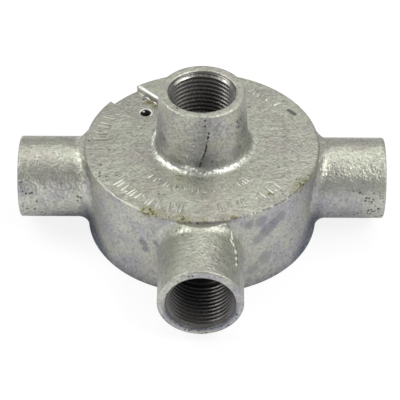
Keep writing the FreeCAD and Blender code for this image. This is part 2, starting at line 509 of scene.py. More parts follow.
@dataclass(frozen=True)
class HighlightZinc:
    """Plain zinc painted lighter than the casting, as a painted highlight on small raised pieces.
    """

    name: str = "painted_highlight_zinc"
    colour: str = "#F1F1EA"
    metallic: float = 0.45
    roughness: float = 0.30

    def build(self) -> Material:
        """Makes the material, which has no pattern."""
        inputs = {
            "Base Color": linear(self.colour),
            "Metallic": self.metallic,
            "Roughness": self.roughness,
        }
        return Canvas(self.name, placed=False).finish(inputs)


@dataclass(frozen=True)
class GalvanisedIron:
    """Hot-dip galvanised malleable iron, some years old.

    The zinc is a greenish grey where it faces up and a cooler, lilac grey on upright faces;
    this split is painted light, for warm light from above and cooler light from the sides.
    Corners and the lower sides are painted darker as shade, and a band round the outlet's foot
    is painted lighter as a highlight. The sand-cast skin under it is grainy, with soft lumps,
    and the zinc froze over that with a satin sheen that breaks into sparkle on the grain.
    """

    name: str = "hot_dip_galvanised_iron"
    # painted light: warm-green where a face points up, lilac where it stands upright, for light
    # from above and from the sides
    upward_lit_zinc: str = "#C1C3B2"
    upward_lit_blush: str = "#BAB7AB"
    side_lit_zinc: str = "#BFBEB3"
    side_lit_lilac: str = "#AFADAF"
    # painted highlight: the lighter colour of the band round the outlet's foot
    foot_highlight_zinc: str = "#DCDED4"
    mottle: Tint = Tint("#77776F", 0.48, 0.72, 0.30)
    sparkle: Tint = Tint("#DCDED4", 0.55, 0.68, 0.45)
    speck: Tint = Tint("#77776F", 0.46, 0.33, 0.50)
    bare: Tint = Tint("#74767F", 0.30, 0.58)
    stain: Tint = Tint("#8E8D5C", 0.40, 0.60)
    rust: Tint = Tint("#847A45", 0.48, 0.56)
    dark_rust: Tint = Tint("#54492C", 0.56, 0.66)
    pit: str = "#3B3D47"
    crack: str = "#2C2A33"
    # painted shade: upright faces are darkened in corners that ambient occlusion finds
    painted_corner_shade: str = "#66656B"
    corner_shade_share: float = 0.30
    # painted shade: blue-grey laid low on the upright sides and higher under the side spouts, for
    # the floor's shadow seen in the metal; the front mouth's fringe line takes the same blue-grey
    painted_low_shade: str = "#4F5669"
    metallic: float = 0.96
    dull_metallic: float = 0.15
    roughness: tuple[float, float] = (0.51, 0.31)  # in the grain's hollows, and on its tops
    foot_highlight_roughness: float = 0.27
    dull_roughness: float = 0.8
    edge_softness: float = 0.8
    grain_size: float = 0.80  # sand grains, drawn about twice as coarse so that they show
    grain_depth: float = 0.22
    lump_size: float = 1.9
    lump_depth: float = 0.21
    sag_size: float = 10.0
    sag_depth: float = 0.20
    pit_spacing: float = 1.05
    pit_lot: tuple[float, float] = (0.994, 0.40)  # what a pit draws more than: sound, crowded
    crack_depth: float = 0.15
    ragged: float = 1.6  # how far a blot's edge wanders
    corner_shade_reach: float = 9.0  # how wide a corner still gets painted shade
    low_shade_height: float = 4.0  # how far up from the rim the painted shade reaches
    low_shade_fade: float = 8.0  # over how much of its height it thins out
    low_shade_climb: float = 15.0  # how much higher it goes towards the side spouts
    low_shade_sides: tuple[float, float] = (27.0, 36.0)  # how far aside it begins to climb, and ends
    low_shade_end: tuple[float, float] = (38.0, 35.5)  # how far aside there is none, and all of it
    low_shade_back: tuple[float, float] = (4.0, -7.0)  # the same, from the back to the front
    low_shade_share: float = 0.85
    foot_highlight_reach: tuple[float, float] = (2.3, 3.9)  # where the painted highlight ends, past the outlet's wall
    foot_highlight_rise: tuple[float, float] = (1.6, 2.6)  # where it ends, up from the back
    foot_highlight_share: float = 0.9
    fringe_width: tuple[float, float] = (0.4, 1.5)  # of the dark blue-grey line outside the front thread
    fringe_rise: tuple[float, float] = (-3.0, 2.0)  # where it ends, up from the bore's middle
    fringe_depth: tuple[float, float] = (0.5, 1.5)  # where it ends, behind the mouth
    oil_width: tuple[float, float] = (0.22, 0.30)  # where the oil ends, outside a thread's root
    oil_depth: float = 6.5  # how far past the thread it goes
    oil_wiped: float = 0.5  # how much of it the outlet's lead-in has lost

    def build(self, bores: list[Bore], oiled: OiledIron, wear: Wear) -> Material:
        """Makes the material.

        Args:
            bores: the threaded bores, which are cut and oiled.
            oiled: the finish in the bores.
            wear: where the zinc has failed or is stained.

        Returns:
            The material.
        """
        canvas = Canvas(self.name)
        tree = canvas.tree
        sag, lumps, grain = (
            canvas.noise(size, Detail=detail, Roughness=0.6)
            for size, detail in ((self.sag_size, 1), (self.lump_size, 2), (self.grain_size, 3))
        )
        foot = self._foot_highlight(canvas, grain, bores)
        colour = self._zinc(canvas, grain, lumps, sag, foot)
        pits = self._pits(canvas, self._blots(canvas, lumps, wear.pitted))
        cracks = self._cracks(canvas, grain, wear.cracks)
        fringe = self._fringe(canvas, grain, bores)
        bare, stain, rust = (
            canvas.shown(tint, grain, self._blots(canvas, lumps, blots))
            for tint, blots in (
                (self.bare, wear.bare),
                (self.stain, wear.stain),
                (self.rust, wear.rust),
            )
        )
        # the front mouth's fringe line is laid in the painted low shade's blue-grey
        for shade, mask in (
            (self.painted_low_shade, fringe),
            (self.bare.colour, bare),
            (self.stain.colour, stain),
            (self.rust.colour, rust),
        ):
            colour = canvas.over(mask, colour, shade)
        scale = canvas.shown(self.dark_rust, grain, rust)
        for shade, mask in (
            (self.dark_rust.colour, scale),
            (self.pit, pits),
            (self.crack, cracks),
        ):
            colour = canvas.over(mask, colour, shade)
        dull = canvas.either(canvas.either(pits, rust), cracks)
        oil = self._oil(canvas, bores)
        colour = canvas.over(oil, colour, oiled.colour)

        shine = {"Value": dull, "To Min": self.metallic, "To Max": self.dull_metallic}
        metal = add(tree, "MapRange", shine).outputs[0]
        spread = {"Value": grain, "From Min": 0.3, "From Max": 0.7}
        spread["To Min"], spread["To Max"] = self.roughness
        rough = add(tree, "MapRange", spread).outputs[0]
        for mask, roughness in (
            (foot, self.foot_highlight_roughness),
            (dull, self.dull_roughness),
            (oil, oiled.roughness),
        ):
            inputs = {0: mask, 2: rough, 3: roughness}
            rough = add(tree, "Mix", inputs, data_type="FLOAT").outputs[0]
        inputs = {0: oil, 2: metal, 3: oiled.metallic}
        metal = add(tree, "Mix", inputs, data_type="FLOAT").outputs[0]
        heights = (
            (sag, self.sag_depth),
            (lumps, self.lump_depth),
            (grain, self.grain_depth),
            (cracks, -self.crack_depth),
        )
        relief = self._relief(canvas, heights, oil)
        return canvas.finish(
            {"Base Color": colour, "Metallic": metal, "Roughness": rough, "Normal": relief}
        )

    def _zinc(
        self, canvas: Canvas, grain: Socket, lumps: Socket, sag: Socket, foot: Socket
    ) -> Socket:
        """Colours the zinc with a painted light tint by which way it faces, clouded, mottled,
        speckled.

        It also paints shade into corners and low on the sides, and a highlight round the
        outlet's foot.

        Args:
            canvas: the material.
            grain: the finest pattern.
            lumps: the middle one.
            sag: the coarsest one.
            foot: the band round the outlet's foot that has a painted highlight.

        Returns:
            The colour.
        """
        tree = canvas.tree
        normal = add(tree, "NewGeometry").outputs["Normal"]
        upright = add(tree, "SeparateXYZ", {0: normal}).outputs["Z"]
        # painted light: faces that point up take the warmer tint, upright ones the cooler
        lit_from_above = canvas.times(None, upright, 0.1, 0.75)
        cloud = canvas.times(None, sag, 0.40, 0.60)
        flat = canvas.over(cloud, self.upward_lit_zinc, self.upward_lit_blush)
        side = canvas.over(cloud, self.side_lit_zinc, self.side_lit_lilac)
        colour = canvas.over(lit_from_above, side, flat)
        colour = canvas.over(canvas.shown(self.mottle, lumps), colour, self.mottle.colour)

        # painted shade: corners found by ambient occlusion are darkened, on upright faces only
        reach = {"Distance": self.corner_shade_reach * MM}
        corner = add(tree, "AmbientOcclusion", reach, samples=4, only_local=True).outputs["AO"]
        painted_corner_shade = canvas.times(None, upright, 0.6, 0.2)
        painted_corner_shade = canvas.times(painted_corner_shade, corner, 0.8, 0.40, self.corner_shade_share)
        colour = canvas.over(painted_corner_shade, colour, self.painted_corner_shade)
        # painted highlight: the band round the outlet's foot is made lighter
        colour = canvas.over(foot, colour, self.foot_highlight_zinc)

        # painted shade: upright faces are darkened towards the rim, and higher up under the side
        # spouts
        where = add(tree, "SeparateXYZ", {0: canvas.place}).outputs
        aside = add(tree, "Math", {0: where["X"]}, operation="ABSOLUTE").outputs[0]
        begin, end = self.low_shade_sides
        climb = canvas.times(None, aside, begin * MM, end * MM, self.low_shade_climb * MM)
        height = add(tree, "Math", {0: where["Z"], 1: climb}, operation="SUBTRACT").outputs[0]
        painted_low_shade = canvas.times(None, upright, 0.7, 0.3)
        for pattern, (none, full) in ((aside, self.low_shade_end), (where["Y"], self.low_shade_back)):
            painted_low_shade = canvas.times(painted_low_shade, pattern, none * MM, full * MM)
        top, full = self.low_shade_height * MM, (self.low_shade_height - self.low_shade_fade) * MM
        painted_low_shade = canvas.times(painted_low_shade, height, top, full, self.low_shade_share)
        colour = canvas.over(painted_low_shade, colour, self.painted_low_shade)
        for tint in (self.sparkle, self.speck):
            colour = canvas.over(canvas.shown(tint, grain), colour, tint.colour)
        return colour

    def _foot_highlight(self, canvas: Canvas, grain: Socket, bores: list[Bore]) -> Socket:
        """Finds the band round the outlet's foot that is painted lighter as a highlight, and is
        smoother.

        Args:
            canvas: the material.
            grain: the pattern that breaks its edge.
            bores: the threaded bores, of which one is the outlet's.

        Returns:
            Its mask.
        """
        outlet = max(bores, key=lambda bore: bore.axis.z)
        near, far = ((outlet.radius + OUTLET_WALL + reach) * MM for reach in self.foot_highlight_reach)
        foot = canvas.times(None, canvas.from_axis(outlet), far, near, self.foot_highlight_share)
        base = outlet.mouth.z - OUTLET_LENGTH
        full, top = ((base + rise) * MM for rise in self.foot_highlight_rise)
        foot = canvas.times(foot, canvas.level(), top, full)
        return canvas.times(foot, grain, 0.30, 0.60)

    def _fringe(self, canvas: Canvas, grain: Socket, bores: list[Bore]) -> Socket:
        """Finds the dark blue-grey line along the front mouth's lower edge.

        Args:
            canvas: the material.
            grain: the pattern that breaks the line.
            bores: the threaded bores, of which one is the front spout's.

        Returns:
            Its mask.
        """
        front = min(bores, key=lambda bore: bore.axis.y)
        near, far = ((front.radius + width) * MM for width in self.fringe_width)
        ring = canvas.times(None, canvas.from_axis(front), far, near)
        full, top = ((front.middle.z + rise) * MM for rise in self.fringe_rise)
        ring = canvas.times(ring, canvas.level(), top, full)
        mouth = front.mouth.dot(front.axis)
        full, end = ((mouth - depth) * MM for depth in self.fringe_depth)
        ring = canvas.times(ring, canvas.along(front), end, full)
        return canvas.times(ring, grain, 0.30, 0.52)

    def _pits(self, canvas: Canvas, crowd: Socket) -> Socket:
        """Sows pinholes in the zinc, few where it is sound and many where they crowd.

        Args:
            canvas: the material.
            crowd: where they crowd.

        Returns:
            Their mask.
        """
        tree = canvas.tree
        spacing = {"Scale": per_metre(self.pit_spacing), "Randomness": 1.0}
        cells = add(tree, "TexVoronoi", {"Vector": canvas.place, **spacing})
        sound, crowded = self.pit_lot
        limits = {"Value": crowd, "To Min": sound, "To Max": crowded}
        least = add(tree, "MapRange", limits).outputs["Result"]
        lot = add(tree, "SeparateColor", {0: cells.outputs["Color"]}).outputs[0]
        chosen = add(tree, "Math", {0: lot, 1: least}, operation="GREATER_THAN").outputs[0]
        return canvas.times(chosen, cells.outputs["Distance"], 0.48, 0.26, 0.85)

    def _oil(self, canvas: Canvas, bores: list[Bore]) -> Socket:
        """Finds where the casting was threaded, from each mouth to behind the thread.

        Args:
            canvas: the material.
            bores: the threaded bores.

        Returns:
            Its mask.
        """
        tree = canvas.tree
        mask = None
        for bore in bores:
            full, none = ((bore.radius + width) * MM for width in self.oil_width)
            inside = canvas.times(None, canvas.from_axis(bore), none, full)
            start = (bore.middle.dot(bore.axis) - bore.length / 2 - self.oil_depth) * MM
            inputs = {0: canvas.along(bore), 1: start}
            part = add(tree, "Math", inputs, operation="GREATER_THAN").outputs[0]
            part = add(tree, "Math", {0: inside, 1: part}, operation="MULTIPLY").outputs[0]
            if bore.axis.z > 0:
                wiped = canvas.times(None, canvas.lead_in(bore), 0.0, 1.0, self.oil_wiped)
                part = add(tree, "Math", {0: part, 1: wiped}, operation="SUBTRACT", use_clamp=True)
                part = part.outputs[0]
            mask = canvas.either(mask, part)
        return mask

    def _blots(self, canvas: Canvas, edge: Socket, blots: tuple[Blot, ...]) -> Socket:
        """Draws several blots as one.

        Args:
            canvas: the material.
            edge: the pattern that their edges wander with.
            blots: the blots.

        Returns:
            Their mask.
        """
        tree = canvas.tree
        limits = {"To Min": -self.ragged * MM, "To Max": self.ragged * MM}
        wander = add(tree, "MapRange", {"Value": edge, **limits}).outputs["Result"]
        mask = None
        for blot in blots:
            inputs = {0: canvas.place, 1: blot.centre * MM}
            offset = add(tree, "VectorMath", inputs, operation="DISTANCE").outputs["Value"]
            offset = add(tree, "Math", {0: offset, 1: wander}, operation="ADD").outputs[0]
            soft = min(0.45, 0.3 * blot.radius)
            none, full = ((blot.radius + side) * MM for side in (soft, -soft))
            mask = canvas.either(mask, canvas.times(None, offset, none, full, blot.strength))
        return mask

    def _cracks(self, canvas: Canvas, edge: Socket, cracks: tuple[Crack, ...]) -> Socket:
        """Draws several hairlines as one, each about its width across.

        Args:
            canvas: the material.
            edge: the pattern that bridges the broken ones.
            cracks: the hairlines.

        Returns:
            Their mask.
        """
        tree = canvas.tree
        mask = None
        for crack in cracks:
            none, full = (share * crack.width * MM for share in (0.75, 0.35))
            for start, end in zip(crack.route, crack.route[1:]):
                span = (end - start) * MM
                inputs = {0: canvas.place, 1: start * MM}
                offset = add(tree, "VectorMath", inputs, operation="SUBTRACT").outputs[0]
                inputs = {0: offset, 1: span / span.length_squared}
                along = add(tree, "VectorMath", inputs, operation="DOT_PRODUCT").outputs["Value"]
                inputs = {0: along, 1: 1.0}
                along = add(tree, "Math", inputs, operation="MULTIPLY", use_clamp=True).outputs[0]
                inputs = {0: span, "Scale": along}
                reached = add(tree, "VectorMath", inputs, operation="SCALE").outputs[0]
                inputs = {0: offset, 1: reached}
                gap = add(tree, "VectorMath", inputs, operation="DISTANCE").outputs["Value"]
                part = canvas.times(None, gap, none, full, crack.strength)
                if crack.broken:
                    part = canvas.times(part, edge, 0.62, 0.50)
                mask = canvas.either(mask, part)
        return mask

    def _relief(
        self, canvas: Canvas, heights: tuple[tuple[Socket, float], ...], oil: Socket
    ) -> Socket:
        """Raises the surface's fine relief, on edges that the moulding sand left soft.

        Args:
            canvas: the material.
            heights: each pattern that has relief, with its depth.
            oil: where the iron was cut, and has none.

        Returns:
            The surface's normal.
        """
        tree = canvas.tree
        softness = {"Radius": self.edge_softness * MM}
        rounded = add(tree, "Bevel", softness, samples=6).outputs[0]
        total = 0.0
        for height, depth in heights:
            inputs = {0: height, 1: depth * MM, 2: total}
            total = add(tree, "Math", inputs, operation="MULTIPLY_ADD").outputs[0]
        cast = add(tree, "Math", {0: 1.0, 1: oil}, operation="SUBTRACT").outputs[0]
        inputs = {"Strength": cast, "Distance": 1.0, "Height": total, "Normal": rounded}
        return add(tree, "Bump", inputs).outputs[0]


# --- What is cut into the casting, or stands proud of it ------------------------------------


@dataclass
class ConduitThread:
    """The thread of one bore: a helical ridge that stands on the bore's plain wall."""

    bore: Bore
    pitch: float = 1.5
    ridge_height: float = 0.812
    crest_width: float = 0.375
    root_width: float = 1.3125
    sunk: float = 0.06
    runout: float = 0.3
    steps: int = 96

    def build(self, material: Material) -> Piece:
        """Cuts the thread and dresses it.

        Args:
            material: the thread's finish.

        Returns:
            The finished piece.
        """
        ridge = self._sweep(self._profile())
        self._trim(ridge)
        self._countersink(ridge)
        turn = Vector((0, 0, 1)).rotation_difference(self.bore.axis).to_matrix().to_4x4()
        ridge.matrix_world = Matrix.Translation(self.bore.middle * MM) @ turn
        settle(ridge)
        dress(ridge, material, 40)
        return ridge

    def _profile(self) -> Piece:
        """Draws the ridge's section, below the bore: wide at the wall and narrow at the crest.

        Returns:
            The section, as a loop of edges.
        """
        select_none()
        start = -(self.bore.length / 2 + self.pitch) * MM
        height = self.ridge_height + self.sunk
        middle = self.bore.radius - self.ridge_height + height / 2
        bpy.ops.mesh.primitive_plane_add(
            size=1,
            location=(middle * MM, 0, start),
            rotation=(math.pi / 2, 0, 0),
        )
        section = bpy.context.object
        section.name = section.data.name = f"{self.bore.name}_thread"
        slope = (self.root_width - self.crest_width) / 2 / self.ridge_height
        widths = (self.crest_width, self.root_width + 2 * slope * self.sunk)
        section.scale = (height * MM, 1, 1)
        settle(section)
        for x_side, width in zip((-1, 1), widths):
            bpy.ops.object.mode_set(mode="EDIT")
            bpy.ops.mesh.select_all(action="DESELECT")
            bpy.ops.object.mode_set(mode="OBJECT")
            for point in section.data.vertices:
                point.select = (point.co.x / MM - middle) * x_side > 0
            bpy.ops.object.mode_set(mode="EDIT")
            bpy.ops.transform.resize(value=(1, 1, width * MM), center_override=(0, 0, start))
        bpy.ops.mesh.select_all(action="SELECT")
        bpy.ops.mesh.delete(type="ONLY_FACE")
        bpy.ops.object.mode_set(mode="OBJECT")
        return section

    def _sweep(self, section: Piece) -> Piece:
        """Turns the section along a right-hand helix, a turn past each end of the bore.

        Args:
            section: the ridge's section.

        Returns:
            The ridge.
        """
        screw = section.modifiers.new("helix", "SCREW")
        screw.axis = "Z"
        screw.angle = 2 * math.pi
        screw.screw_offset = self.pitch * MM
        screw.iterations = math.ceil(self.bore.length / self.pitch) + 2
        screw.steps = screw.render_steps = self.steps
        pick(section)
        bpy.ops.object.modifier_apply(modifier=screw.name)
        close_up(section)
        return section

    def _trim(self, ridge: Piece) -> None:
        """Cuts the ridge off square at the mouth, and short of the shoulder.

        Args:
            ridge: the ridge, a turn too long at each end.
        """
        half = self.bore.length / 2
        bpy.context.view_layer.objects.active = ridge
        bpy.ops.object.mode_set(mode="EDIT")
        for height, side in ((half, 1), (self.runout - half, -1)):
            bpy.ops.mesh.select_all(action="SELECT")
            bpy.ops.mesh.bisect(
                plane_co=(0, 0, height * MM),
                plane_no=(0, 0, side),
                use_fill=True,
                clear_outer=True,
                threshold=0.0001 * MM,
            )
        bpy.ops.object.mode_set(mode="OBJECT")

    def _countersink(self, ridge: Piece) -> None:
        """Cuts the lead-in with a cone, so that the ridge grows from nothing at the mouth.

        Args:
            ridge: the ridge, cut to length.
        """
        select_none()
        above = 1.0
        below = self.ridge_height + 0.3
        edge = self.bore.radius + 0.05
        bpy.ops.mesh.primitive_cone_add(
            vertices=self.steps,
            radius1=(edge - below) * MM,
            radius2=(edge + above) * MM,
            depth=(above + below) * MM,
            location=(0, 0, (self.bore.length / 2 + (above - below) / 2) * MM),
        )
        cutter = bpy.context.object
        settle(cutter)
        cut = ridge.modifiers.new("countersink", "BOOLEAN")
        cut.operation = "DIFFERENCE"
        cut.solver = "EXACT"
        cut.object = cutter
        pick(ridge)
        bpy.ops.object.modifier_apply(modifier=cut.name)
        bpy.data.objects.remove(cutter)


@dataclass
class Bead:
    """Thin raised lines of metal over the casting's surface: one run, or several broken ones.

    Each run is a list of places with the bead's thickness there, as a share of its width.
    """

    name: str
    runs: list[Run]
    width: float
    sides: int = 3

    def build(self, material: Material) -> Piece:
        """Lays the bead and dresses it.

        Args:
            material: the bead's finish.

        Returns:
            The finished piece.
        """
        piece = join([self._lay(run) for run in self.runs], self.name)
        dress(piece, material, 60)
        return piece

    def _lay(self, run: Run) -> Piece:
        """Lays one run of the bead.

        Args:
            run: its places.

        Returns:
            The run, as a mesh.
        """
        select_none()
        bpy.ops.curve.primitive_nurbs_path_add()
        curve = bpy.context.object.data
        spline = curve.splines[0]
        spline.points.add(max(0, len(run) - len(spline.points)))
        places = run + [run[-1]] * (len(spline.points) - len(run))
        for point, (place, share) in zip(spline.points, places):
            point.co = (*(place * MM), 1)
            point.radius = share
        spline.order_u = 3
        spline.use_endpoint_u = True
        curve.resolution_u = 6
        curve.bevel_depth = self.width / 2 * MM
        curve.bevel_resolution = self.sides
        curve.use_fill_caps = True
        bpy.ops.object.convert(target="MESH")
        laid = bpy.context.object
        settle(laid)
        close_up(laid)
        return laid


@dataclass
class Burr:
    """The low ring of metal round the cover screw's hole, and a drop of zinc inside it."""

    casting: Casting
    radius: float = 1.95
    thickness: float = 0.55
    flatness: float = 0.8
    sunk: float = 0.12
    tilt: tuple[float, float] = (5.0, -2.0)
    drop: float = 0.8
    drop_place: tuple[float, float, float] = (-0.75, 1.25, -0.65)  # from the hole's middle
    drop_shape: tuple[float, float, float] = (1.2, 0.9, 1.3)

    def build(self, material: Material) -> Piece:
        """Raises the ring, higher behind the hole than before it, and hangs the drop.

        Args:
            material: the finish of both.

        Returns:
            The joined piece.
        """
        centre = self.casting.in_recess(SCREW_RADIUS, 0.0)
        select_none()
        bpy.ops.mesh.primitive_torus_add(
            major_segments=48,
            minor_segments=12,
            major_radius=self.radius * MM,
            minor_radius=self.thickness / 2 * MM,
            location=(centre - Vector((0, 0, self.sunk))) * MM,
            rotation=(*(math.radians(angle) for angle in self.tilt), 0),
        )
        ring = bpy.context.object
        ring.scale.z = self.flatness
        settle(ring)
        select_none()
        bpy.ops.mesh.primitive_uv_sphere_add(
            segments=24,
            ring_count=12,
            radius=self.drop / 2 * MM,
            location=(centre + Vector(self.drop_place)) * MM,
        )
        drop = bpy.context.object
        drop.scale = self.drop_shape
        settle(drop)
        burr = join([ring, drop], "screw_hole_burr")
        dress(burr, material, 60)
        return burr


class Mark(Enum):
    """The plain strokes that a row of foundry marks is made of."""

    BAR = "|"  # out from the middle
    OUTER = "'"  # half a bar, at the outer end
    INNER = ","  # half a bar, at the inner end
    DASH = "-"  # along the arc
    GAP = " "


@dataclass(frozen=True)
class MarkRow:
    """One row of marks along an arc of the back."""

    radius: float
    start: float
    end: float
    height: float
    marks: str

    def places(self) -> list[tuple[Mark, float]]:
        """Each mark with its angle, evenly spaced from the row's start to its end."""
        step = (self.end - self.start) / (len(self.marks) - 1)
        return [(Mark(sign), self.start + step * i) for i, sign in enumerate(self.marks)]


@dataclass
class FoundryMarks:
    """Rows of plain raised tally strokes, cast on the back and softened by the zinc."""

    casting: Casting
    rows: list[MarkRow]
    relief: float = 0.45
    stroke: float = 0.72
    bevel: float = 0.47  # of the stroke, so that little of it is flat
    half: float = 0.42
    dash: float = 0.3
    slip: float = 0.6  # how far a stroke may be out of place, in degrees
    lean: float = 7.0  # how far it may lean
    sunk: float = 0.02
    rng: random.Random = field(default_factory=lambda: random.Random(20))

    def build(self, material: Material) -> Piece:
        """Raises every mark and joins them.

        Args:
            material: the marks' finish, a paler zinc as their painted highlight.

        Returns:
            The joined piece.
        """
        made = [
            self._stroke(row, mark, angle)
            for row in self.rows
            for mark, angle in row.places()
            if mark is not Mark.GAP
        ]
        marks = join(made, "foundry_marks")
        dress(marks, material, 60)
        return marks

    def _stroke(self, row: MarkRow, mark: Mark, angle: float) -> Piece:
        """Raises one stroke, rounded all over and a little uneven, its lower half in the back.

        Args:
            row: the row it stands in.
            mark: which stroke it is.
            angle: where it stands.

        Returns:
            The stroke.
        """
        select_none()
        bpy.ops.mesh.primitive_cube_add(size=1)
        stroke = bpy.context.object
        share = {Mark.BAR: 1.0, Mark.DASH: self.dash}.get(mark, self.half)
        share *= self.rng.uniform(0.85, 1.0)
        shift = {Mark.OUTER: 0.25, Mark.INNER: -0.25}.get(mark, 0.0) * row.height
        stroke.scale = (row.height * share * MM, self.stroke * MM, self.stroke * MM)
        settle(stroke)
        bpy.ops.object.mode_set(mode="EDIT")
        bpy.ops.mesh.select_all(action="SELECT")
        bpy.ops.mesh.bevel(offset=self.bevel * self.stroke * MM, segments=4, affect="EDGES")
        bpy.ops.object.mode_set(mode="OBJECT")
        stroke.scale.z = 2 * self.relief / self.stroke * self.rng.uniform(0.8, 1.1)
        angle += self.rng.uniform(-self.slip, self.slip)
        turn = angle + (90 if mark is Mark.DASH else 0) + self.rng.uniform(-self.lean, self.lean)
        stroke.rotation_euler.z = math.radians(turn)
        stroke.location = self.casting.on_back(row.radius + shift, angle, -self.sunk) * MM
        settle(stroke)
        return stroke


# --- Studio ---------------------------------------------------------------------------------


@dataclass(frozen=True)
class Lamp:
    """One soft square lamp, aimed at the box."""

    name: str
    azimuth: float
    elevation: float
    side: float
    watts: float
    distance: float = 600.0

    def build(self) -> None:
        """Hangs the lamp."""
        turn, rise = math.radians(self.azimuth), math.radians(self.elevation)
        out = Vector(
            (math.cos(turn) * math.cos(rise), math.sin(turn) * math.cos(rise), math.sin(rise))
        )
        select_none()
        bpy.ops.object.light_add(
            type="AREA",
            location=out * self.distance * MM,
            rotation=out.to_track_quat("Z", "Y").to_euler(),
        )
        lamp = bpy.context.object
        lamp.name = lamp.data.name = self.name
        lamp.data.shape = "SQUARE"
        lamp.data.size = self.side * MM
        lamp.data.energy = self.watts


@dataclass(frozen=True)
class Studio:
    """A plain pale floor, soft lamps round the box, and the camera."""

    distance: float = 516.2
    azimuth: float = 0.431
    elevation: float = 41.60
    pan: float = -0.526
    tilt: float = 41.10
    lens: float = 145.82
    sensor: float = 36.0
    floor_size: float = 3000.0
    paper: str = "#EBECEE"
    glossy_glow: float = 0.06
    seen_paper: str = "#7C7C7C"
    seen_glow: float = 0.84
    lamps: tuple[Lamp, ...] = (
        Lamp("left_softbox", 180.0, 46.0, 320.0, 1.50),
        Lamp("right_softbox", -28.0, 46.0, 320.0, 1.50),
        Lamp("right_fill", 5.0, 46.0, 320.0, 0.52),
        Lamp("overhead_right", 60.0, 66.0, 320.0, 0.62),
        Lamp("overhead_left", 120.0, 66.0, 320.0, 0.39),
        Lamp("back_fill", 80.0, 27.0, 320.0, 0.16),
        Lamp("back_low", 120.0, 9.0, 180.0, 0.30),
        Lamp("window", -120.0, 9.0, 180.0, 0.55),
    )
    sky: str = "#E4E7EE"
    sky_strength: float = 0.26

    def build(self) -> None:
        """Sets the camera, the floor and the light."""
        self._camera()
        self._floor()
        for lamp in self.lamps:
            lamp.build()
        self._sky()
        bpy.context.scene.view_settings.view_transform = "Standard"

    def _camera(self) -> None:
        """Stands the camera on its circle round the box, and points it."""
        turn, rise = math.radians(self.azimuth), math.radians(self.elevation)
        out = Vector(
            (math.sin(turn) * math.cos(rise), -math.cos(turn) * math.cos(rise), math.sin(rise))
        )
        bpy.ops.object.camera_add(
            location=out * self.distance * MM,
            rotation=(math.radians(90 - self.tilt), 0, math.radians(-self.pan)),
        )
        camera = bpy.context.object
        camera.data.lens = self.lens
        camera.data.sensor_width = self.sensor
        camera.data.clip_start = 10 * MM
        bpy.context.scene.camera = camera

    def _floor(self) -> None:
        """A matt floor, white to the camera but for the shadow, and plain grey to the metal."""
        select_none()
        bpy.ops.mesh.primitive_plane_add(size=self.floor_size * MM)
        floor = bpy.context.object
        floor.name = "floor"
        canvas = Canvas("matt_paper", placed=False)
        tree = canvas.tree
        seen = add(tree, "LightPath").outputs
        paper = canvas.over(seen["Is Camera Ray"], self.paper, self.seen_paper)
        paper = add(tree, "BsdfDiffuse", {"Color": paper}).outputs[0]
        inputs = {0: seen["Is Glossy Ray"], 1: self.glossy_glow}
        glow = add(tree, "Math", inputs, operation="MULTIPLY").outputs[0]
        inputs = {0: seen["Is Camera Ray"], 1: self.seen_glow, 2: glow}
        glow = add(tree, "Math", inputs, operation="MULTIPLY_ADD").outputs[0]
        glow = add(tree, "Emission", {"Color": (1, 1, 1, 1), "Strength": glow}).outputs[0]
        both = add(tree, "AddShader", {0: glow, 1: paper}).outputs[0]
        add(tree, "OutputMaterial", {"Surface": both})
        floor.data.materials.append(canvas.material)

    def _sky(self) -> None:
        """An even pale surround."""
        world = bpy.data.worlds.new("studio")
        world.use_nodes = True
        tree = world.node_tree
        tree.nodes.clear()
        sky = {"Color": linear(self.sky), "Strength": self.sky_strength}
        back = add(tree, "Background", sky).outputs[0]
        add(tree, "OutputWorld", {"Surface": back})
        bpy.context.scene.world = world


# --- The whole box --------------------------------------------------------------------------


# A blot's row gives its place, in the numbers that the casting's method for it takes, then its
# size and its strength. A place by the back's edge is how far in from the edge, and the angle.
EDGE_RUST: Rows = (
    (0.4, -118.5, 1.0, 0.9), (0.3, -115.5, 1.5, 1.0), (0.6, -112.0, 1.1, 0.9),
    (0.2, -107.5, 1.0, 0.9), (0.4, -104.5, 1.0, 0.9), (0.2, -99.0, 1.5, 1.0),
    (0.2, -95.5, 1.0, 0.8), (0.1, -88.0, 0.7, 0.7), (0.2, -79.5, 0.9, 0.8),
    (0.3, -74.5, 0.9, 0.9), (18.5, -112.7, 0.9, 1.0), (4.8, -49.4, 0.8, 1.0),
    (0.3, -33.0, 1.1, 0.8), (0.3, -25.0, 1.0, 0.7),
)
RECESS_RUST: Rows = (
    (25.3, 4.9, 1.1, 1.0), (25.6, 5.6, 1.0, 0.9, 0.9),
    (28.6, 4.9, 1.3, 1.0), (28.6, 5.6, 1.0, 1.0, 0.9),
)
EDGE_STAIN: Rows = (
    (0.8, -38.5, 1.2, 0.8), (1.2, -34.0, 1.6, 0.9), (0.8, -29.5, 1.6, 1.0),
    (0.5, -24.5, 1.2, 0.8), (1.2, -117.0, 2.4, 0.8), (1.0, -110.0, 2.0, 0.7),
    (0.8, -99.0, 2.2, 0.8), (0.8, -89.0, 1.4, 0.5), (0.8, -79.0, 1.8, 0.6),
    (6.0, -132.0, 2.2, 0.35), (18.2, -110.0, 1.2, 0.5),
)
RECESS_STAIN: Rows = ((28.6, 4.4, 1.4, 1.0), (25.3, 4.4, 1.2, 0.9))
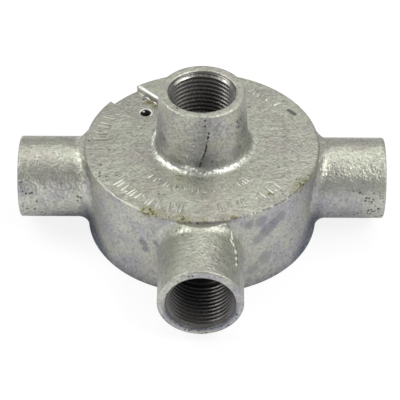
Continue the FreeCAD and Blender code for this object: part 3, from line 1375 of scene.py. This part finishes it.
SIDE_BARE: Rows = (
    (-119.0, 16.6, 1.4, 1.0), (-117.2, 14.6, 1.3, 0.9), (-111.4, 18.4, 1.2, 0.9),
    (-113.4, 22.2, 0.6, 0.6), (-57.5, 20.6, 2.4, 0.8), (-53.5, 22.2, 2.2, 0.9),
    (-49.5, 23.6, 2.0, 0.7), (-62.0, 18.6, 1.9, 0.6), (-67.0, 25.5, 1.8, 0.7),
    (-61.0, 25.2, 2.0, 0.7), (-72.0, 22.0, 1.4, 0.4), (-58.0, 10.0, 2.4, 0.5),
    (-64.0, 7.0, 2.0, 0.5),
)
SPOUT_BARE: Rows = (
    (-54.6, 20.6, 2.0, 0.55), (-51.6, 19.4, 1.6, 0.45), (-50.0, 16.0, 1.2, 0.35),
    (-41.0, 9.0, 1.8, 0.35), (44.0, 12.0, 2.0, 0.30), (51.0, 7.0, 2.0, 0.35),
)
OUTLET_BARE: Rows = (
    (-92.0, 32.6, 1.8, 0.6), (-86.0, 33.8, 1.4, 0.6), (-128.0, 31.6, 2.0, 0.6),
    (-119.0, 31.2, 1.8, 0.6), (-27.0, 43.0, 2.6, 0.6), (-18.0, 38.0, 2.8, 0.6),
    (-33.0, 38.0, 2.2, 0.6), (-40.0, 33.5, 2.4, 0.6), (-150.0, 36.0, 2.6, 0.6),
)
SPOUT_PITS: Rows = (
    (-54.5, 20.5, 2.6, 0.9), (-51.0, 17.5, 2.6, 0.8), (-54.0, 14.0, 1.6, 0.8),
    (-49.0, 9.5, 2.0, 0.6), (-43.5, 7.5, 2.4, 0.7), (-53.0, 5.0, 1.6, 0.8),
    (-38.0, 16.5, 1.6, 0.5), (48.5, 19.3, 1.6, 0.8), (51.0, 17.8, 2.2, 1.0),
    (53.5, 17.0, 2.4, 1.0), (55.0, 14.0, 2.2, 1.0), (52.0, 12.0, 2.0, 0.8),
    (48.0, 10.5, 1.8, 0.8), (55.0, 9.5, 1.8, 1.0),
)
MOUTH_PITS: Rows = (
    (-9.0, 7.7, 3.0, 1.0), (-4.5, 5.4, 3.0, 1.0), (1.0, 5.0, 3.0, 1.0),
    (6.5, 6.8, 2.8, 0.9), (-11.6, 15.0, 2.6, 0.8), (-8.5, 23.5, 2.0, 0.5),
    (-2.0, 27.0, 2.0, 0.5), (10.5, 10.5, 1.8, 0.5),
)
EDGE_PITS: Rows = (
    (5.0, 171.0, 2.2, 0.35), (3.0, -152.0, 2.8, 0.7), (4.5, -146.0, 2.4, 0.7),
    (0.0, -116.0, 2.5, 0.6), (0.0, -99.0, 1.8, 0.4), (0.5, -31.0, 2.8, 0.8),
    (0.3, -45.0, 1.8, 0.5), (0.0, 178.0, 2.0, 0.4),
)
OUTLET_PITS: Rows = (
    (-29.0, 44.0, 2.2, 1.0), (-31.0, 40.5, 2.2, 1.0),
    (-22.0, 37.0, 2.2, 0.6), (-84.0, 46.0, 2.2, 0.4),
)
RECESS_PITS: Rows = ((26.0, 0.0, 1.6, 0.4),)

# A hairline's row gives one of its points, and the last number of a run's row is how thick the
# bead is there.
OUTLET_SEAM: Rows = (
    (-81.0, 43.6), (-82.6, 41.0), (-84.4, 38.2), (-87.4, 35.4), (-90.6, 33.2), (-92.6, 31.4),
)
SLOT_PIT: Rows = ((31.8, 31.6), (32.4, 27.0))
# painted shadow: a dark line beside the flash on the front spout, with a shallow groove in the
# relief
FLASH_SHADOW: Rows = ((42.0, 39.3), (36.0, 41.0), (32.6, 42.8), (32.4, 47.6))
SCAB: Rows = ((33.6, 39.6), (33.2, 38.0))
EDGE_LINE: Rows = tuple((0.1, angle) for angle in range(-76, -22, 6))
SEAM_RUNS: tuple[Rows, ...] = (
    ((-82.4, 45.6, 0.5), (-83.2, 45.0, 1.5), (-83.0, 44.2, 1.2), (-83.8, 43.7, 0.3)),
    ((-84.0, 42.8, 0.3), (-84.6, 41.4, 1.1), (-85.6, 40.4, 0.8), (-86.4, 39.4, 0.3)),
    (
        (-87.0, 38.4, 0.3), (-88.4, 37.0, 1.0), (-89.8, 36.0, 0.8),
        (-91.4, 34.9, 1.0), (-93.4, 33.6, 0.8), (-95.6, 31.8, 0.4),
    ),
)
FLASH_RUNS: tuple[Rows, ...] = (
    ((47.0, 38.9, 0.5), (44.0, 39.9, 1.1), (41.0, 40.6, 0.9), (40.0, 41.0, 0.4)),
    ((38.6, 41.4, 0.4), (37.4, 42.0, 1.2), (36.6, 42.8, 1.0), (36.4, 43.4, 0.4)),
    ((36.2, 44.0, 0.4), (36.2, 44.7, 1.1), (35.8, 45.3, 0.9), (35.8, 45.8, 0.4)),
    ((35.8, 46.6, 0.4), (35.4, 47.2, 1.0), (35.4, 47.7, 0.8), (35.2, 48.2, 0.4)),
)
ROOT_FLASH_RUNS: tuple[Rows, ...] = (
    (
        (8.1, -35.15, 28.0, 0.5), (8.5, -35.45, 26.6, 1.0), (8.7, -36.15, 25.4, 0.8),
        (8.9, -37.2, 24.6, 1.0), (9.2, -38.6, 24.2, 0.5),
    ),
)
FOOT_RUNS: tuple[Rows, ...] = (
    ((14.0, 0.5), (16.4, 1.0), (18.6, 1.2), (20.0, 0.6)),
    ((21.2, 0.6), (23.0, 1.2), (24.6, 0.6)),
    ((26.2, 0.5), (27.2, 1.1), (27.9, 0.5)),
    ((29.3, 0.5), (30.4, 1.2), (31.3, 0.6)),
    ((32.0, 0.4), (33.4, 0.8), (34.6, 0.4)),
)
LIP_RUNS: tuple[Rows, ...] = (
    (
        (14.2, 0.8), (16.5, 1.1), (19.0, 0.8), (22.0, 1.05), (25.5, 0.9),
        (28.0, 1.25), (31.0, 1.0), (33.0, 1.3), (34.9, 0.9),
    ),
)
MARK_ROWS = [
    MarkRow(31.2, -143.0, -101.0, 4.4, "|| |'|| |, || |' |,||"),
    MarkRow(22.2, -134.0, -52.0, 3.0, "| |, || |' - || ' | ,| - |'||"),
    MarkRow(30.4, -80.0, -42.0, 4.0, "|'| ||, - | |'|"),
    MarkRow(31.4, 158.0, 177.0, 4.2, "| || |,|"),
    MarkRow(30.6, 40.0, 66.0, 3.8, "| , ||' -"),
]


def blots(place: Callable[..., Vector], rows: Rows) -> tuple[Blot, ...]:
    """Turns a table into blots.

    Args:
        place: the casting's method that finds their places.
        rows: for each, what that method takes, its size and its strength.

    Returns:
        The blots.
    """
    return tuple(Blot(place(*row[:-2]), *row[-2:]) for row in rows)


def route(place: Callable[..., Vector], rows: Rows) -> tuple[Vector, ...]:
    """The points of a hairline, from the casting's method that finds them and its table."""
    return tuple(place(*row) for row in rows)


def runs(place: Callable[..., Vector], tables: tuple[Rows, ...]) -> list[Run]:
    """A bead's runs, from the method that finds their places and the table of each."""
    return [[(place(*row[:-1]), row[-1]) for row in rows] for rows in tables]


def casting_wear(casting: Casting) -> Wear:
    """Where the finish has failed or is stained.

    Args:
        casting: the casting's measures.

    Returns:
        The rust, stains, bare and pitted places, and the hairlines.
    """
    pinhole = casting.on_back(23.1, 51.7)
    return Wear(
        rust=blots(casting.by_back_edge, EDGE_RUST) + blots(casting.in_recess, RECESS_RUST),
        stain=blots(casting.by_back_edge, EDGE_STAIN) + blots(casting.in_recess, RECESS_STAIN),
        bare=blots(casting.on_side, SIDE_BARE)
        + blots(casting.on_side_spout, SPOUT_BARE)
        + blots(casting.on_outlet, OUTLET_BARE),
        pitted=blots(casting.on_side_spout, SPOUT_PITS)
        + blots(casting.on_front_mouth, MOUTH_PITS)
        + blots(casting.by_back_edge, EDGE_PITS)
        + blots(casting.on_outlet, OUTLET_PITS)
        + blots(casting.in_recess, RECESS_PITS),
        cracks=(
            Crack(route(casting.on_outlet, OUTLET_SEAM), 0.5),
            Crack(route(casting.on_back, SLOT_PIT), 1.3, 0.8, broken=False),
            Crack(route(casting.on_back, SCAB), 1.5, 0.4),
            Crack(route(casting.by_back_edge, EDGE_LINE), 0.7, 0.5),
            # painted shadow beside the flash, drawn as a dark hairline
            Crack(route(casting.on_front_spout, FLASH_SHADOW), 0.6, 0.7),
            Crack((pinhole, pinhole + Vector((0.4, 0.1, 0))), 0.6, 0.9),
        ),
    )


def mould_lines(casting: Casting) -> list[Bead]:
    """The seam up the outlet, the flash over the front spout, and zinc along the recess's wall.

    Args:
        casting: the casting's measures.

    Returns:
        The beads, not yet built.
    """
    root = runs(lambda x, y, z: Vector((x, y, z)), ROOT_FLASH_RUNS)
    wall = RECESS_HALF_WIDTH
    foot = runs(lambda out: casting.in_recess(out, wall - 0.05, 0.02), FOOT_RUNS)
    lip = runs(lambda out: casting.in_recess(out, wall + 0.35, RECESS_DEPTH - 0.38), LIP_RUNS)
    return [
        Bead("outlet_seam", runs(casting.on_outlet, SEAM_RUNS), 0.7),
        Bead("spout_flash", runs(casting.on_front_spout, FLASH_RUNS) + root, 0.8),
        Bead("recess_foot_zinc", foot, 0.6),
        Bead("recess_lip_zinc", lip, 1.05),
    ]


def main() -> None:
    """Builds the box's pieces in order, dresses them and sets the studio."""
    logging.basicConfig(level=logging.INFO, format="%(name)s: %(message)s")
    bores = threaded_bores()
    casting = Casting.from_frame(bores)
    outlet = next(bore for bore in bores if bore.axis.z > 0)
    # painted light and shade: the outlet's oiled iron is a lighter grey and the spouts' a darker
    # one
    lit_outlet_iron = OiledIron().build(outlet)
    oiled = OiledIron("shaded_oiled_spout_iron", "#6A6764", metallic=0.40, roughness=0.27)
    shaded_spout_iron = oiled.build(outlet)
    zinc = GalvanisedIron().build(bores, oiled, casting_wear(casting))
    # painted highlight: near-white zinc on the recess's beads and the screw hole's burr, and a
    # paler grey one on the flash and the marks
    near_white_highlight = HighlightZinc().build()
    raised_highlight = HighlightZinc("raised_highlight_zinc", "#C8C9BE", 0.90, 0.36).build()

    shell = frame["nodes"][NODE]
    shell.data.materials.clear()
    shell.data.materials.append(zinc)
    log.info("%s: %d faces", shell.name, len(shell.data.polygons))

    for bore in bores:
        ConduitThread(bore).build(lit_outlet_iron if bore is outlet else shaded_spout_iron)
    for bead in mould_lines(casting):
        bead.build({"outlet_seam": zinc, "spout_flash": raised_highlight}.get(bead.name, near_white_highlight))
    Burr(casting).build(near_white_highlight)
    FoundryMarks(casting, MARK_ROWS).build(raised_highlight)
    Studio().build()


if __name__ == "__main__":
    main()
